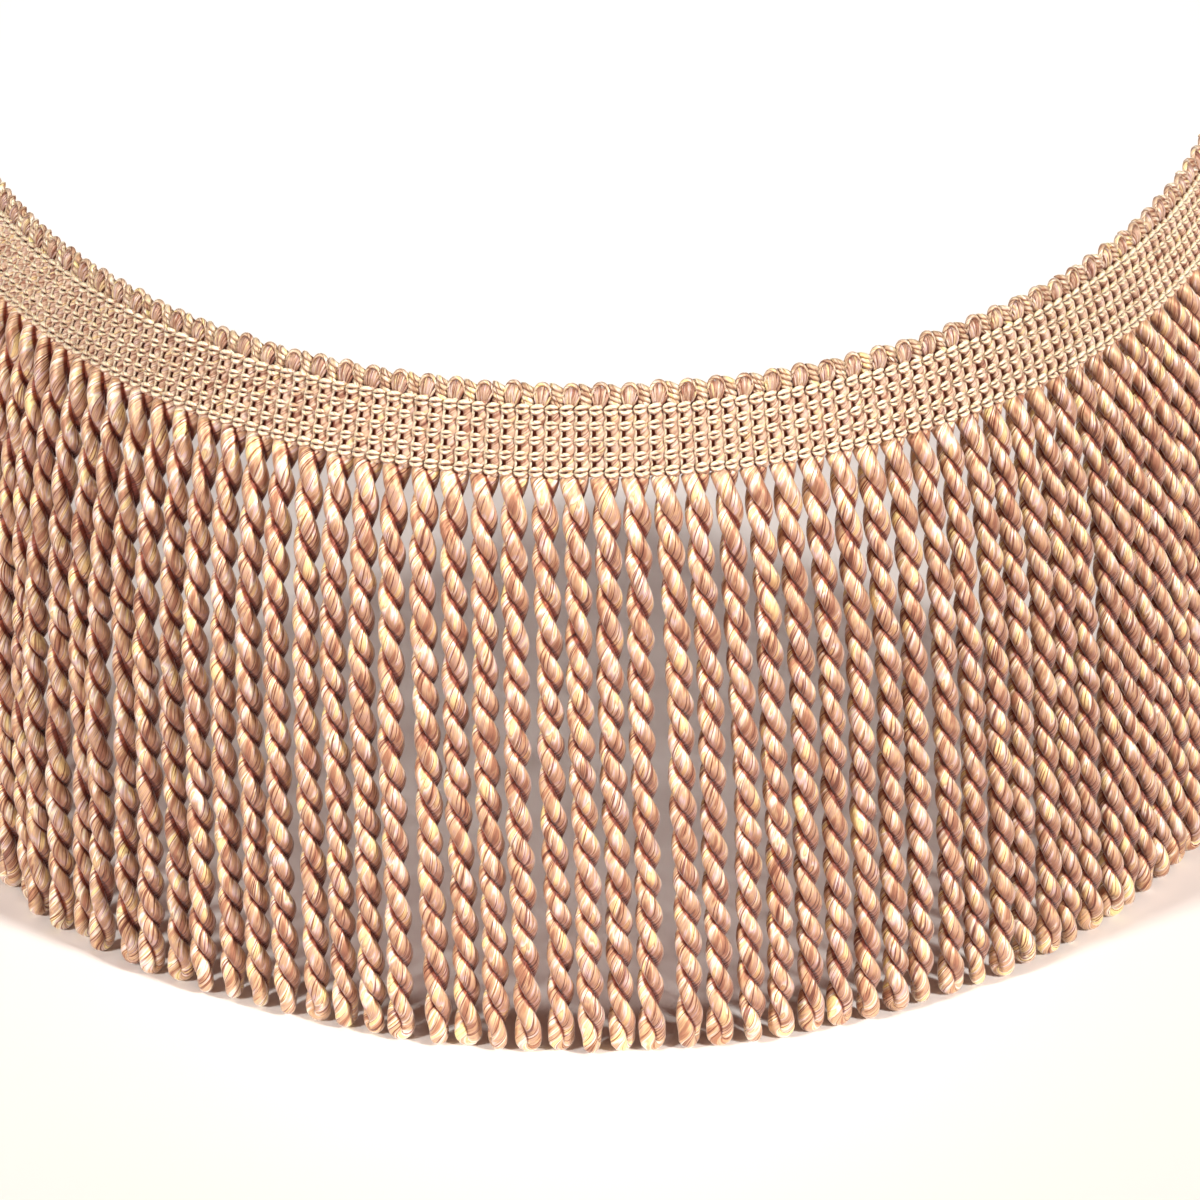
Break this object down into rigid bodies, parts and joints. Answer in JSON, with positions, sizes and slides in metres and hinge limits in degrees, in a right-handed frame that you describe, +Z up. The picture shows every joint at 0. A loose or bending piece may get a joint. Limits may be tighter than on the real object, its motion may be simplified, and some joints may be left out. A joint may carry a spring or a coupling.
{
  "type": "bullion fringe trim",
  "caption": "Length of bullion fringe trim standing in an open curve: knitted heading with picot edge above a skirt of twisted looped cords.",
  "frame": {"origin": "centre of the bounding box in X and Y, on the ground that the cord ends stand on", "axes": "+X along the chord of the curve, from the first length of fringe to the last; +Y from the bulging front towards the open side of the curve; +Z up, from the cord ends to the picot edge"},
  "size_m": [0.1994, 0.0892, 0.1013],
  "materials": {
    "heading_knit": "cream and rose knitted yarn with a soft sheen",
    "picot_yarn": "rose, gold and mauve mixed yarn with a soft sheen",
    "cord_yarn": "rose, gold and mauve mixed yarn, twisted, with a satin sheen"
  },
  "bodies": {
    "root": {"heading": "heading_knit", "picots": "picot_yarn", "fringe_1": "cord_yarn", "fringe_2": "cord_yarn", "fringe_3": "cord_yarn", "fringe_4": "cord_yarn", "fringe_5": "cord_yarn", "fringe_6": "cord_yarn", "fringe_7": "cord_yarn", "fringe_8": "cord_yarn"}
  },
  "joints": []
}
